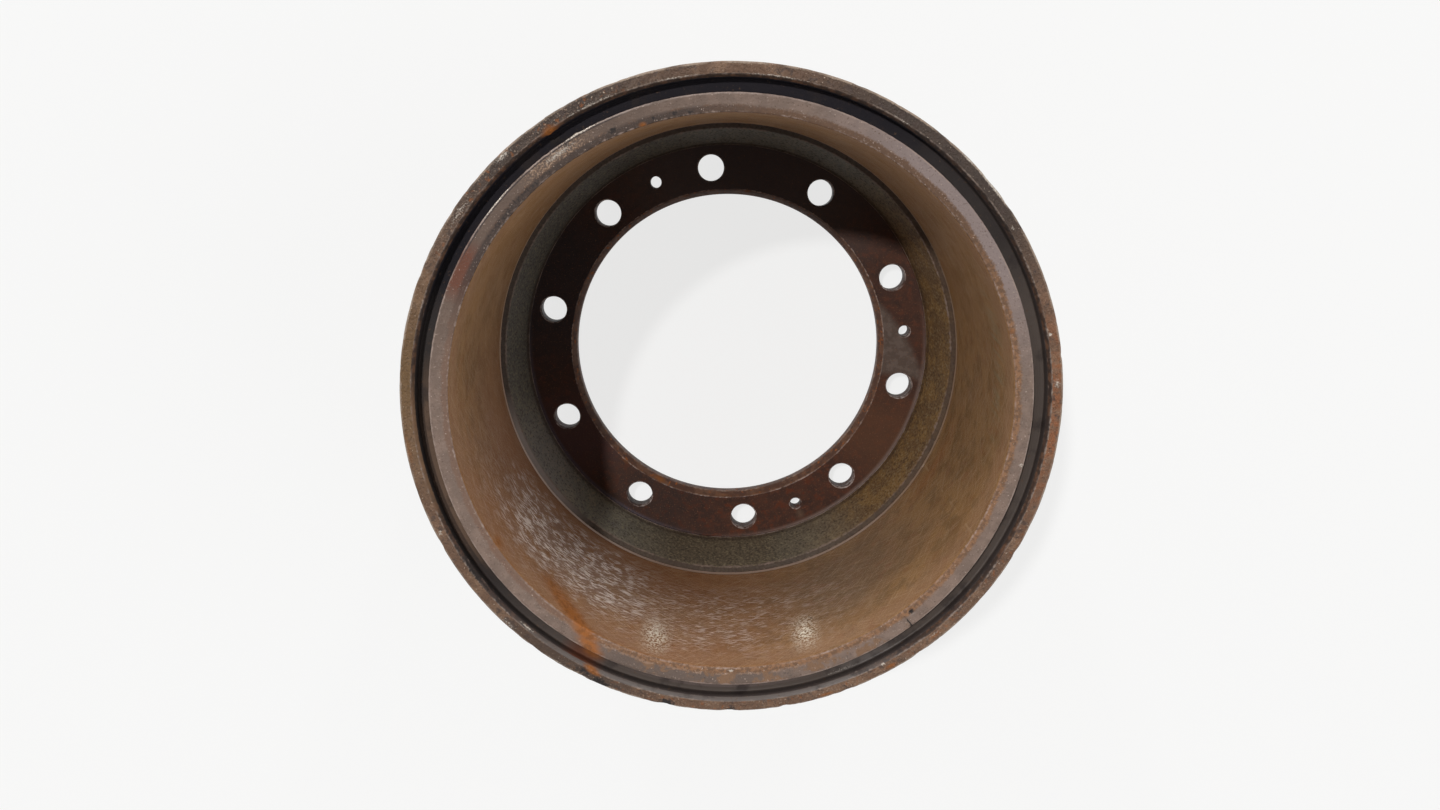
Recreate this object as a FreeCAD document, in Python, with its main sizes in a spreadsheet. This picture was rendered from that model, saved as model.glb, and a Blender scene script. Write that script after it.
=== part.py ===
"""Brake drum of a heavy truck axle: one grey iron casting, turned on its working faces.

The drum stands on its closed end. The origin is the centre of the outer mounting face, +Z runs along the
drum's axis to the open mouth, and angles go clockwise from +Y as seen looking into the mouth.
All sizes are in millimetres.
"""
import FreeCAD, Part
import math
import os
import Sketcher

# Driving sizes: name, value, meaning
SIZES = (
    ("drum_height", 278.5, "mounting face to the top of the outer lip"),
    ("friction_diameter", 410.0, "bore that the brake shoes rub on"),
    ("wall_thickness", 16.0, "cast wall outside the friction bore, at the mouth band"),
    ("wall_draft", 2.0, "growth of the cast wall towards the closed end"),
    ("land_width", 13.5, "face between the friction bore and the shield groove"),
    ("land_drop", 3.4, "the land lies this far below the lip"),
    ("land_crease", 8.6, "outer, bare part of the land"),
    ("land_dish", 1.1, "fall of the land from its outer edge to the crease"),
    ("land_run", 0.4, "further fall from the crease to the friction bore"),
    ("bore_edge", 0.8, "chamfer where the friction bore opens"),
    ("groove_width", 9.4, "floor of the dust shield groove"),
    ("groove_depth", 11.7, "groove floor below the lip"),
    ("groove_draft", 0.5, "lean of each groove wall"),
    ("groove_fillet", 1.2, "fillet in the corners of the groove"),
    ("lip_width", 8.2, "flat top of the outer lip"),
    ("lip_bevel_width", 2.0, "bevel on the inside of the lip, across"),
    ("lip_bevel_depth", 3.5, "bevel on the inside of the lip, along the axis"),
    ("lip_edge", 1.0, "chamfer on the outside of the lip"),
    ("band_height", 30.0, "turned band round the mouth"),
    ("band_taper", 13.0, "cast slope under the mouth band"),
    ("band_fillet", 8.0, "fillet between the wall and the slope under the band"),
    ("flange_thickness", 17.0, "mounting flange at the wheel bolts"),
    ("seat_inset", 17.6, "the turned seat inside the flange ends this far inside the friction bore"),
    ("seat_depth", 1.0, "cut of that face into the cast web"),
    ("web_margin", 0.5, "the cast cone starts this far outside the seat"),
    ("root_fillet", 6.0, "cast fillet between the web and the cone"),
    ("step_height", 53.2, "inner end of the friction bore above the seat"),
    ("step_width", 4.4, "width of the sloped shoulder there"),
    ("step_fall", 2.6, "fall of that shoulder"),
    ("cone_wall", 12.0, "wall of the cast cone at the flange"),
    ("flange_rim", 20.0, "height of the flange's outer edge"),
    ("flange_edge", 2.0, "chamfer round the mounting face"),
    ("shoulder_rise", 10.0, "the outer shoulder ends this far above the step"),
    ("shoulder_fillet", 30.0, "rounding of the outer shoulder into the wall"),
    ("rim_fillet", 10.0, "fillet between the flange edge and the shoulder"),
    ("seat_width", 39.8, "ring of the seat outside the bevel of the centre bore"),
    ("pilot_stock", 4.0, "cast metal turned out of the centre bore"),
    ("pilot_bevel_width", 4.6, "inner bevel of the centre bore, across"),
    ("pilot_bevel_depth", 6.0, "inner bevel of the centre bore, along the axis"),
    ("pilot_edge", 1.5, "outer chamfer of the centre bore"),
    ("bolt_inset", 19.9, "all holes in the flange lie this far inside the edge of the seat"),
    ("bolt_count", 10, "wheel bolt holes"),
    ("bolt_hole", 24.0, "diameter of a wheel bolt hole"),
    ("bolt_angle", 354.6, "first wheel bolt hole, clockwise from +Y"),
    ("screw_hole", 10.5, "diameter of a small screw hole"),
    ("hole_edge", 0.8, "chamfer on the flange holes"),
)
# The three small holes stand halfway between two bolt holes: the bolt hole that each one follows
SCREW_HOLES_AFTER = (10, 3, 5)

# Heights and radii that follow from the driving sizes
FRICTION_R = "Sizes.friction_diameter / 2"
WALL_R = f"{FRICTION_R} + Sizes.wall_thickness"
SHOULDER_R = f"{WALL_R} + Sizes.wall_draft"
LAND_R = f"{FRICTION_R} + Sizes.land_width"
CREASE_R = f"{LAND_R} - Sizes.land_crease"
GROOVE_IN_R = f"{LAND_R} + Sizes.groove_draft"
GROOVE_OUT_R = f"{LAND_R} + Sizes.groove_width"
BEVEL_R = f"{GROOVE_OUT_R} + Sizes.groove_draft"
LIP_R = f"{BEVEL_R} + Sizes.lip_bevel_width"
MOUTH_R = f"{LIP_R} + Sizes.lip_width"
CONE_TOP_R = f"{FRICTION_R} - Sizes.step_width"
SEAT_R = f"{FRICTION_R} - Sizes.seat_inset"
CONE_FOOT_R = f"{SEAT_R} + Sizes.web_margin"
FLANGE_R = f"{CONE_FOOT_R} + Sizes.cone_wall"
PILOT_R = f"{SEAT_R} - Sizes.seat_width - Sizes.pilot_bevel_width"
BOLT_CIRCLE_R = f"{SEAT_R} - Sizes.bolt_inset"

BASE = "0"
WEB_Z = "Sizes.flange_thickness + Sizes.seat_depth"
STEP_Z = "Sizes.flange_thickness + Sizes.step_height"
SHOULDER_Z = f"{STEP_Z} + Sizes.shoulder_rise"
CONE_TOP_Z = f"{STEP_Z} - Sizes.step_fall"
MOUTH_Z = "Sizes.drum_height"
BAND_Z = f"{MOUTH_Z} - Sizes.band_height"
TAPER_Z = f"{BAND_Z} - Sizes.band_taper"
LAND_Z = f"{MOUTH_Z} - Sizes.land_drop"
CREASE_Z = f"{LAND_Z} - Sizes.land_dish"
BORE_TOP_Z = f"{CREASE_Z} - Sizes.land_run"
GROOVE_Z = f"{MOUTH_Z} - Sizes.groove_depth"
BEVEL_Z = f"{MOUTH_Z} - Sizes.lip_bevel_depth"

# A turning cut runs this far into the air past the metal it removes
OVERRUN = 5.0
FULL_TURN = 360.0
SAME_PLACE = 0.01

doc = FreeCAD.newDocument("brake_drum")
sheet = doc.addObject("Spreadsheet::Sheet", "Sizes")
for row, (name, size, meaning) in enumerate(SIZES, start=1):
    sheet.set(f"A{row}", name)
    sheet.set(f"B{row}", str(size))
    sheet.set(f"C{row}", meaning)
    sheet.setAlias(f"B{row}", name)
doc.recompute()


def value(expression):
    """The number that an expression on the sheet has now."""
    return float(sheet.evalExpression(expression))


def origin_plane(body, role):
    """One of the body's own origin planes."""
    return next(item for item in body.Origin.OriginFeatures if item.Role == role)


def new_sketch(body, name, role):
    """An empty sketch that lies on one of the body's origin planes."""
    sketch = body.newObject("Sketcher::SketchObject", name)
    sketch.AttachmentSupport = [(origin_plane(body, role), "")]
    sketch.MapMode = "FlatFace"
    return sketch


def bind(sketch, constraint, name, expression):
    """Adds a dimension to the sketch and ties it to the sheet."""
    index = sketch.addConstraint(constraint)
    sketch.renameConstraint(index, name)
    sketch.setExpression(f"Constraints.{name}", expression)


def half_section(body, name, corners):
    """A closed outline in the XZ plane: each corner is its radius and its height, both tied to the sheet."""
    sketch = new_sketch(body, name, "XZ_Plane")
    points = [FreeCAD.Vector(value(radius), value(height), 0) for radius, height in corners]
    following = points[1:] + points[:1]
    for start, end in zip(points, following):
        sketch.addGeometry(Part.LineSegment(start, end), False)
    for index, (radius, height) in enumerate(corners):
        joined = (index + 1) % len(corners)
        sketch.addConstraint(Sketcher.Constraint("Coincident", index, 2, joined, 1))
        across = Sketcher.Constraint("DistanceX", -1, 1, index, 1, value(radius))
        bind(sketch, across, f"radius_{index}", radius)
        if height == BASE:
            sketch.addConstraint(Sketcher.Constraint("PointOnObject", index, 1, -1))
        else:
            along = Sketcher.Constraint("DistanceY", -1, 1, index, 1, value(height))
            bind(sketch, along, f"height_{index}", height)
    return sketch


def turned(body, kind, name, corners):
    """A full turn of a half section about the drum's axis, added or cut away."""
    sketch = half_section(body, f"{name}_section", corners)
    feature = body.newObject(kind, name)
    feature.Profile = sketch
    feature.ReferenceAxis = (sketch, ["V_Axis"])
    feature.Angle = FULL_TURN
    doc.recompute()
    return feature


def rings(feature, places):
    """Names of the feature's round edges with the given radius and height."""
    wanted = [(value(radius), value(height)) for radius, height in places]
    found = []
    for index, edge in enumerate(feature.Shape.Edges, start=1):
        curve = edge.Curve
        if not isinstance(curve, Part.Circle):
            continue
        for radius, height in wanted:
            if abs(curve.Radius - radius) < SAME_PLACE and abs(curve.Center.z - height) < SAME_PLACE:
                found.append(f"Edge{index}")
    return found


def edge_feature(body, kind, name, base, places, size, expression):
    """A fillet or a chamfer on the round edges at the given places."""
    feature = body.newObject(kind, name)
    feature.Base = (base, rings(base, places))
    feature.setExpression(size, expression)
    doc.recompute()
    return feature


def hole_angle(hole):
    """Clockwise angle from +Y of a bolt hole, counted from the first; a half number lies between two."""
    return f"Sizes.bolt_angle + {FULL_TURN} * {hole - 1} / Sizes.bolt_count"


def flange_holes(body, name, diameter, angles):
    """Straight holes through the flange from the mounting face, centred on the bolt circle."""
    sketch = new_sketch(body, f"{name}_places", "XY_Plane")
    for angle in angles:
        turn = math.radians(90 - value(angle))
        reach = value(BOLT_CIRCLE_R)
        centre = FreeCAD.Vector(reach * math.cos(turn), reach * math.sin(turn), 0)
        spoke = sketch.addGeometry(Part.LineSegment(FreeCAD.Vector(), centre), True)
        ring = sketch.addGeometry(Part.Circle(centre, FreeCAD.Vector(0, 0, 1), value(diameter) / 2), False)
        sketch.addConstraint(Sketcher.Constraint("Coincident", spoke, 1, -1, 1))
        sketch.addConstraint(Sketcher.Constraint("Coincident", ring, 3, spoke, 2))
        length = Sketcher.Constraint("Distance", spoke, reach)
        bind(sketch, length, f"reach_{spoke}", BOLT_CIRCLE_R)
        lean = Sketcher.Constraint("Angle", spoke, turn)
        bind(sketch, lean, f"turn_{spoke}", f"(90 - ({angle})) * 1 deg")
        width = Sketcher.Constraint("Diameter", ring, value(diameter))
        bind(sketch, width, f"width_{ring}", diameter)
    pocket = body.newObject("PartDesign::Pocket", name)
    pocket.Profile = sketch
    pocket.Type = "ThroughAll"
    pocket.Reversed = True
    doc.recompute()
    return pocket


drum = doc.addObject("PartDesign::Body", "brake_drum")
drum.Label = "brake_drum"

# The rough casting: flange, cone, wall and mouth band in one pour
casting = turned(drum, "PartDesign::Revolution", "casting", (
    (f"{PILOT_R} - Sizes.pilot_stock", BASE),
    (FLANGE_R, BASE),
    (FLANGE_R, "Sizes.flange_rim"),
    (SHOULDER_R, SHOULDER_Z),
    (WALL_R, TAPER_Z),
    (MOUTH_R, BAND_Z),
    (MOUTH_R, MOUTH_Z),
    (CONE_TOP_R, MOUTH_Z),
    (CONE_TOP_R, CONE_TOP_Z),
    (CONE_FOOT_R, WEB_Z),
    (f"{PILOT_R} - Sizes.pilot_stock", WEB_Z),
))
root = edge_feature(drum, "PartDesign::Fillet", "root_fillet", casting,
                    ((CONE_FOOT_R, WEB_Z),), "Radius", "Sizes.root_fillet")
shoulder = edge_feature(drum, "PartDesign::Fillet", "shoulder_fillet", root,
                        ((SHOULDER_R, SHOULDER_Z),), "Radius", "Sizes.shoulder_fillet")
rim = edge_feature(drum, "PartDesign::Fillet", "rim_fillet", shoulder,
                   ((FLANGE_R, "Sizes.flange_rim"),), "Radius", "Sizes.rim_fillet")
band = edge_feature(drum, "PartDesign::Fillet", "band_fillet", rim,
                    ((WALL_R, TAPER_Z),), "Radius", "Sizes.band_fillet")

# Turned from the mouth: friction bore, land, dust shield groove and the bevel inside the lip
bore_in_r = f"{FRICTION_R} - 2 * Sizes.step_width"
bore_in_z = f"{STEP_Z} - 2 * Sizes.step_fall"
mouth_cut = turned(drum, "PartDesign::Groove", "mouth_cut", (
    (bore_in_r, bore_in_z),
    (FRICTION_R, STEP_Z),
    (FRICTION_R, f"{BORE_TOP_Z} - Sizes.bore_edge"),
    (f"{FRICTION_R} + Sizes.bore_edge", BORE_TOP_Z),
    (CREASE_R, CREASE_Z),
    (LAND_R, LAND_Z),
    (GROOVE_IN_R, GROOVE_Z),
    (GROOVE_OUT_R, GROOVE_Z),
    (BEVEL_R, BEVEL_Z),
    (LIP_R, MOUTH_Z),
    (LIP_R, f"{MOUTH_Z} + {OVERRUN}"),
    (bore_in_r, f"{MOUTH_Z} + {OVERRUN}"),
))
groove = edge_feature(drum, "PartDesign::Fillet", "groove_fillet", mouth_cut,
                      ((GROOVE_IN_R, GROOVE_Z), (GROOVE_OUT_R, GROOVE_Z)), "Radius", "Sizes.groove_fillet")

# Turned at the hub: centre bore with its inner bevel, and the seat inside the flange
hub_cut = turned(drum, "PartDesign::Groove", "hub_cut", (
    (f"{PILOT_R} - Sizes.pilot_stock - {OVERRUN}", BASE),
    (PILOT_R, BASE),
    (PILOT_R, "Sizes.flange_thickness - Sizes.pilot_bevel_depth"),
    (f"{PILOT_R} + Sizes.pilot_bevel_width", "Sizes.flange_thickness"),
    (SEAT_R, "Sizes.flange_thickness"),
    (SEAT_R, f"{WEB_Z} + Sizes.root_fillet"),
    (f"{PILOT_R} - Sizes.pilot_stock - {OVERRUN}", f"{WEB_Z} + Sizes.root_fillet"),
))
lip_edge = edge_feature(drum, "PartDesign::Chamfer", "lip_edge", hub_cut,
                        ((MOUTH_R, MOUTH_Z),), "Size", "Sizes.lip_edge")
pilot_edge = edge_feature(drum, "PartDesign::Chamfer", "pilot_edge", lip_edge,
                          ((PILOT_R, BASE),), "Size", "Sizes.pilot_edge")
flange_edge = edge_feature(drum, "PartDesign::Chamfer", "flange_edge", pilot_edge,
                           ((FLANGE_R, BASE),), "Size", "Sizes.flange_edge")

# Drilled: ten wheel bolt holes, and three small screw holes between them on the same circle
turned_volume = flange_edge.Shape.Volume
first_hole = flange_holes(drum, "bolt_hole", "Sizes.bolt_hole", (hole_angle(1),))
bolt_holes = drum.newObject("PartDesign::PolarPattern", "bolt_holes")
bolt_holes.Originals = [first_hole]
bolt_holes.Axis = (first_hole.Profile[0], ["N_Axis"])
bolt_holes.Angle = FULL_TURN
bolt_holes.setExpression("Occurrences", "Sizes.bolt_count")
drum.Tip = bolt_holes
doc.recompute()
screw_holes = flange_holes(drum, "screw_holes", "Sizes.screw_hole",
                           tuple(hole_angle(hole + 0.5) for hole in SCREW_HOLES_AFTER))
hole_faces = tuple((f"{size} / 2", face) for size in ("Sizes.bolt_hole", "Sizes.screw_hole")
                   for face in (BASE, "Sizes.flange_thickness"))
hole_edges = edge_feature(drum, "PartDesign::Chamfer", "hole_edges", screw_holes,
                          hole_faces, "Size", "Sizes.hole_edge")
drum.Tip = hole_edges
doc.recompute()

# Every feature has to be sound, and the holes have to take out the metal that they should
failed = [item.Name for item in doc.Objects if "Invalid" in item.State or "Error" in item.State]
if failed:
    raise RuntimeError("failed: " + ", ".join(failed))
if drum.Shape.isNull() or not drum.Shape.isValid() or len(drum.Shape.Solids) != 1:
    raise RuntimeError("the drum is not one valid solid")
bolt_area = value("Sizes.bolt_count") * math.pi * value("Sizes.bolt_hole") ** 2 / 4
screw_area = len(SCREW_HOLES_AFTER) * math.pi * value("Sizes.screw_hole") ** 2 / 4
drilled = (bolt_area + screw_area) * value("Sizes.flange_thickness")
removed = turned_volume - screw_holes.Shape.Volume
if abs(removed - drilled) > drilled / 1000:
    raise RuntimeError(f"the holes remove {removed:.0f} mm3 and should remove {drilled:.0f}")

os.makedirs("parts", exist_ok=True)
drum.Shape.exportStep(f"parts/{drum.Label}.step")
box = drum.Shape.BoundBox
print(f"{drum.Label}: {box.XLength:.1f} x {box.YLength:.1f} x {box.ZLength:.1f} mm,"
      f" {drum.Shape.Volume / 1000:.0f} cm3")
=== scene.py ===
import math

import bpy
import numpy as np
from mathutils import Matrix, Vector


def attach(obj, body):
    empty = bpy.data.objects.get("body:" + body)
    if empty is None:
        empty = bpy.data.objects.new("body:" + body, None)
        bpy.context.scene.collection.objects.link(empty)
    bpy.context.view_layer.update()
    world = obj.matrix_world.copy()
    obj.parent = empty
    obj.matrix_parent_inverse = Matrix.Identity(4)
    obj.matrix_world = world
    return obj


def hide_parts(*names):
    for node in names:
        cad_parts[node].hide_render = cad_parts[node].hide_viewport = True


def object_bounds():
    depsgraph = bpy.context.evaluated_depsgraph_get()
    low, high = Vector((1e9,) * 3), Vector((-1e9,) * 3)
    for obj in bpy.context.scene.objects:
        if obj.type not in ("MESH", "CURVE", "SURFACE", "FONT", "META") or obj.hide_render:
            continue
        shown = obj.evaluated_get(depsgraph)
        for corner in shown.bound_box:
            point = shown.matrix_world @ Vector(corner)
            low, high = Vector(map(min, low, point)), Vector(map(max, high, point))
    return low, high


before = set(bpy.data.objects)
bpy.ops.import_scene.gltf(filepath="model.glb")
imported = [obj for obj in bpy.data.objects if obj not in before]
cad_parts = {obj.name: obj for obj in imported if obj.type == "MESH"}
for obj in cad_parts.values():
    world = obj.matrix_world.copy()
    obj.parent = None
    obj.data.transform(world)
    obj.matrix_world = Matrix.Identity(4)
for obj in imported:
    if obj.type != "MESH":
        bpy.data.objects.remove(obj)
cad_low, cad_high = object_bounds()

# The camera looks down into the mouth of the drum, which stands on its closed end. The lens is a wide one,
# so the closed end looks much smaller than the mouth.
LENS = 28.0
SENSOR_WIDTH = 36.0
CAMERA_PLACE = (-0.0117, 0.1710, 1.0659)
CAMERA_TURN = (-12.190, -0.230, 0.048)
camera_data = bpy.data.cameras.new("camera")
camera_data.lens = LENS
camera_data.sensor_width = SENSOR_WIDTH
camera = bpy.data.objects.new("camera", camera_data)
camera.location = CAMERA_PLACE
camera.rotation_euler = [math.radians(turn) for turn in CAMERA_TURN]
bpy.context.scene.collection.objects.link(camera)
bpy.context.scene.camera = camera
bpy.context.scene.view_settings.view_transform = "Standard"

# The drum is one grey iron casting. Flange, cone, wall and mouth band are poured together, and the
# mouth, the friction bore, the flange and the centre bore are turned bright, then rust in use.
# Sizes are in millimetres, and angles go clockwise from +Y as seen looking into the mouth.
MILLIMETRE = 0.001
MOUTH_R = cad_high.x / MILLIMETRE
MOUTH_Z = cad_high.z / MILLIMETRE
FRICTION_R = 205.0
WALL_R = 221.0
SHOULDER_R = 223.0
SHOULDER_Z = 80.2
FLANGE_R = 199.9
FLANGE_Z = 17.0
SEAT_R = 187.4
PILOT_R = 143.0
BOLT_CIRCLE_R = 167.5
BOLT_HOLE_R = 12.0
SCREW_HOLE_R = 5.25
HOLE_EDGE = 0.8
FIRST_BOLT = 354.6
SCREW_PLACES = (336.6, 84.6, 156.6)

# Each corner of the section: radius, height, rounding, length of the mesh's steps on the run that
# follows, surface of that run, and how far wear has brightened the corner
SURFACES = ("turned_outside", "cast_outside", "lip", "groove", "land", "friction", "cone", "flange", "pilot")
OUTSIDE_LOW = (
    (196.9, 0.0, 0.0, 2.0, "turned_outside", 0.0),
    (197.9, 0.0, 0.3, 2.0, "turned_outside", 0.5),
    (FLANGE_R, 2.0, 0.3, 6.0, "turned_outside", 0.5),
    (FLANGE_R, 20.0, 10.0, 10.0, "cast_outside", 0.0),
    (SHOULDER_R, SHOULDER_Z, 30.0, 16.0, "cast_outside", 0.0),
    (WALL_R, 235.5, 8.0, 6.0, "cast_outside", 0.0),
    (MOUTH_R, 248.5, 0.6, 3.0, "turned_outside", 0.4),
    (MOUTH_R, 254.0, 0.0, 3.0, "turned_outside", 0.0),
)
MOUTH = (
    (MOUTH_R, 256.0, 0.0, 5.0, "turned_outside", 0.0),
    (MOUTH_R, MOUTH_Z - 1.0, 0.3, 1.0, "lip", 0.8),
    (MOUTH_R - 1.0, MOUTH_Z, 0.4, 1.2, "lip", 0.8),
    (230.4, MOUTH_Z, 0.4, 1.8, "groove", 0.62),
    (228.4, 275.0, 0.4, 2.8, "groove", 0.3),
    (227.9, 266.8, 1.2, 3.5, "groove", 0.0),
    (219.0, 266.8, 1.2, 3.0, "groove", 0.0),
    (218.5, 275.1, 0.3, 1.5, "land", 0.9),
    (209.9, 274.0, 0.5, 1.5, "land", 0.0),
    (205.8, 273.6, 0.25, 1.0, "land", 0.5),
    (FRICTION_R, 272.8, 0.25, 3.5, "friction", 0.4),
    (FRICTION_R, 262.0, 0.0, 3.5, "friction", 0.0),
)
ROOT_ROUNDING = 6.0
ROOT_CENTRE = (183.24, 24.0)
ROOT = tuple((ROOT_CENTRE[0] + ROOT_ROUNDING * math.cos(math.radians(turn)),
              ROOT_CENTRE[1] - ROOT_ROUNDING * math.sin(math.radians(turn)), 0.0, 2.0, "cone", 0.0)
             for turn in (14.4, 25.0, 35.5))
INSIDE = (
    (FRICTION_R, 258.0, 0.0, 9.0, "friction", 0.0),
    (FRICTION_R, 70.2, 0.5, 1.5, "cone", 0.4),
    (200.6, 67.6, 1.0, 4.5, "cone", 0.6),
    *ROOT,
    (SEAT_R, 19.67, 0.2, 1.5, "flange", 0.85),
    (SEAT_R, FLANGE_Z, 0.2, 1.5, "flange", 0.0),
    (186.4, FLANGE_Z, 0.0, 1.5, "flange", 0.0),
)
CENTRE_BORE = (
    (148.8, FLANGE_Z, 0.0, 1.5, "flange", 0.0),
    (147.6, FLANGE_Z, 0.3, 2.2, "pilot", 0.6),
    (PILOT_R, 11.0, 0.3, 4.0, "pilot", 0.6),
    (PILOT_R, 1.5, 0.3, 1.0, "pilot", 0.3),
    (144.5, 0.0, 0.3, 1.0, "turned_outside", 0.2),
    (145.5, 0.0, 0.0, 1.0, "turned_outside", 0.0),
)


ARC_STEP = math.radians(20)
STRAIGHT = math.radians(89.9)


def unit(vector):
    """The vector at length one."""
    return vector / np.linalg.norm(vector)


def half_section(corners):
    """Rows along a section. A straight run is cut into even steps, and a corner is an arc that is tangent
    to both of its runs: its centre lies on the bisector, rounding / sin(half angle) away from the corner."""
    places = [np.array(corner[:2]) for corner in corners]
    arcs = [np.array([places[0]])]
    for before, here, after, corner in zip(places, places[1:], places[2:], corners[1:]):
        back = unit(before - here)
        ahead = unit(after - here)
        half = math.acos(np.clip(back @ ahead, -1, 1)) / 2
        if corner[2] == 0 or half > STRAIGHT:
            arcs.append(np.array([here]))
            continue
        centre = here + unit(back + ahead) * corner[2] / math.sin(half)
        start = here + back * corner[2] / math.tan(half) - centre
        end = here + ahead * corner[2] / math.tan(half) - centre
        sweep = math.pi - 2 * half
        steps = max(1, round(sweep / ARC_STEP)) if corner[2] > 1 else 1
        share = np.linspace(0, 1, steps + 1)[:, None]
        curve = (np.sin((1 - share) * sweep) * start + np.sin(share * sweep) * end) / math.sin(sweep)
        arcs.append(centre + curve)
    arcs.append(np.array([places[-1]]))
    rows = []
    for arc, following, corner in zip(arcs, arcs[1:], corners):
        rows += [(*place, corner[4], corner[5]) for place in arc]
        run = following[0] - arc[-1]
        steps = max(1, round(np.linalg.norm(run) / corner[3]))
        rows += [(*(arc[-1] + run * step / steps), corner[4], 0.0) for step in range(1, steps)]
    rows.append((*places[-1], corners[-1][4], 0.0))
    return rows


# The mesh has a row of points for each place on the section. The mouth, where chips and scale are small,
# has three times as many points in a row as the rest. The flange is cut into sectors, and every second
# one has a wheel bolt hole in its middle.
FULL_TURN = 360
SECTORS = 20
SECTOR = FULL_TURN / SECTORS
SECTOR_STEPS = 16
STATIONS = SECTORS * SECTOR_STEPS
MOUTH_SHARE = 3
FIRST_STATION = FIRST_BOLT + SECTOR / 2 - FULL_TURN
points = []
quads = []
triangles = []
quad_surface = []
triangle_surface = []
total = 0


def add_points(radius, angle, height, wear):
    """Adds points at the given radius, clockwise angle and height, and returns their numbers."""
    global total
    radius, angle, height, wear = np.broadcast_arrays(radius, angle, height, wear)
    points.append(np.stack([radius, angle, height, wear], axis=-1).reshape(-1, 4))
    numbers = np.arange(total, total + radius.size).reshape(radius.shape)
    total += radius.size
    return numbers


def band(lower, upper, surface):
    """Four-sided faces between two rows of points that both close on themselves."""
    quads.append(np.stack([lower, upper, np.roll(upper, -1), np.roll(lower, -1)], axis=-1))
    quad_surface.append(np.full(len(lower), SURFACES.index(surface)))


def strip(lower, upper, surface):
    """Four-sided faces between two rows of points that don't close."""
    quads.append(np.stack([lower[:-1], upper[:-1], upper[1:], lower[1:]], axis=-1).reshape(-1, 4))
    quad_surface.append(np.full(len(lower) - 1, SURFACES.index(surface)))


def fan(lower, upper, surface):
    """Triangles between a row and one with three times as many points, whichever of the two comes first."""
    if len(lower) < len(upper):
        one, next_one = lower, np.roll(lower, -1)
        fine = [upper[0::3], upper[1::3], upper[2::3], np.roll(upper, -3)[0::3]]
        made = [(one, fine[0], fine[1]), (one, fine[1], fine[2]), (one, fine[2], next_one),
                (next_one, fine[2], fine[3])]
    else:
        one, next_one = upper, np.roll(upper, -1)
        fine = [lower[0::3], lower[1::3], lower[2::3], np.roll(lower, -3)[0::3]]
        made = [(fine[0], one, fine[1]), (fine[1], one, fine[2]), (fine[2], one, next_one),
                (fine[2], next_one, fine[3])]
    for corners in made:
        triangles.append(np.stack(corners, axis=-1))
        triangle_surface.append(np.full(len(one), SURFACES.index(surface)))


def turned_rows(corners, count):
    """Rows of points for one stretch of the section, with the bands between them. Returns all rows."""
    stations = FIRST_STATION + np.arange(count) * FULL_TURN / count
    rows = half_section(corners)
    numbers = [add_points(radius, stations, height, wear) for radius, height, surface, wear in rows]
    for lower, upper, row in zip(numbers, numbers[1:], rows):
        band(lower, upper, row[2])
    return numbers


outside_rows = turned_rows(OUTSIDE_LOW, STATIONS)
mouth_rows = turned_rows(MOUTH, STATIONS * MOUTH_SHARE)
inside_rows = turned_rows(INSIDE, STATIONS)
bore_rows = turned_rows(CENTRE_BORE, STATIONS)
fan(outside_rows[-1], mouth_rows[0], "turned_outside")
fan(mouth_rows[-1], inside_rows[0], "friction")

# Ten wheel bolt holes and three small screw holes go straight through the flange on one circle. Each
# face of the flange is cut into twenty sectors of 18 degrees, and rings of points lead from a sector's
# outline to the hole in its middle.
SIDE_STEPS = 12
AROUND_HOLE = 2 * (SECTOR_STEPS + SIDE_STEPS)
RING_SHARES = (0.35, 0.68, 0.92, 1.0)
HOLE_MARGIN = 0.6
HOLE_WALL_STEPS = 3
HOLE_EDGE_WEAR = 0.7
HOLE_WALL_WEAR = 0.5


def sector_outlines(first_row, last_row, height):
    """The closed outline of each sector between two rows, which starts with the first row's arc."""
    start, end = (points_at(row)[0, 0] for row in (first_row, last_row))
    angles = FIRST_STATION + np.arange(SECTORS)[:, None] * SECTOR
    share = np.arange(1, SIDE_STEPS) / SIDE_STEPS
    sides = add_points(start + (end - start) * share, angles, height, 0.0)
    outlines = []
    for sector in range(SECTORS):
        arc = np.arange(sector * SECTOR_STEPS, (sector + 1) * SECTOR_STEPS + 1) % STATIONS
        following = sides[(sector + 1) % SECTORS]
        outlines.append((first_row[arc], following, last_row[arc], sides[sector]))
    return outlines


def points_at(numbers):
    """Radius, angle, height and wear of points that have been added."""
    return np.concatenate(points)[numbers]


def plane(radius, angle):
    """Radius and clockwise angle as places in the plane."""
    turn = np.radians(angle)
    return np.stack([radius * np.sin(turn), radius * np.cos(turn)], axis=-1)


def plain_sector(outline, height, surface):
    """A sector with no hole: rows from side to side at even steps between its two arcs."""
    first, right, last, left = outline
    start, end = points_at(first), points_at(last)
    rows = [first]
    for step in range(1, SIDE_STEPS):
        share = step / SIDE_STEPS
        radius = start[0, 0] * (1 - share) + end[0, 0] * share
        inner = add_points(radius, start[1:-1, 1], height, 0.0)
        rows.append(np.concatenate([[left[step - 1]], inner, [right[step - 1]]]))
    rows.append(last)
    for lower, upper in zip(rows, rows[1:]):
        strip(lower, upper, surface)


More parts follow.
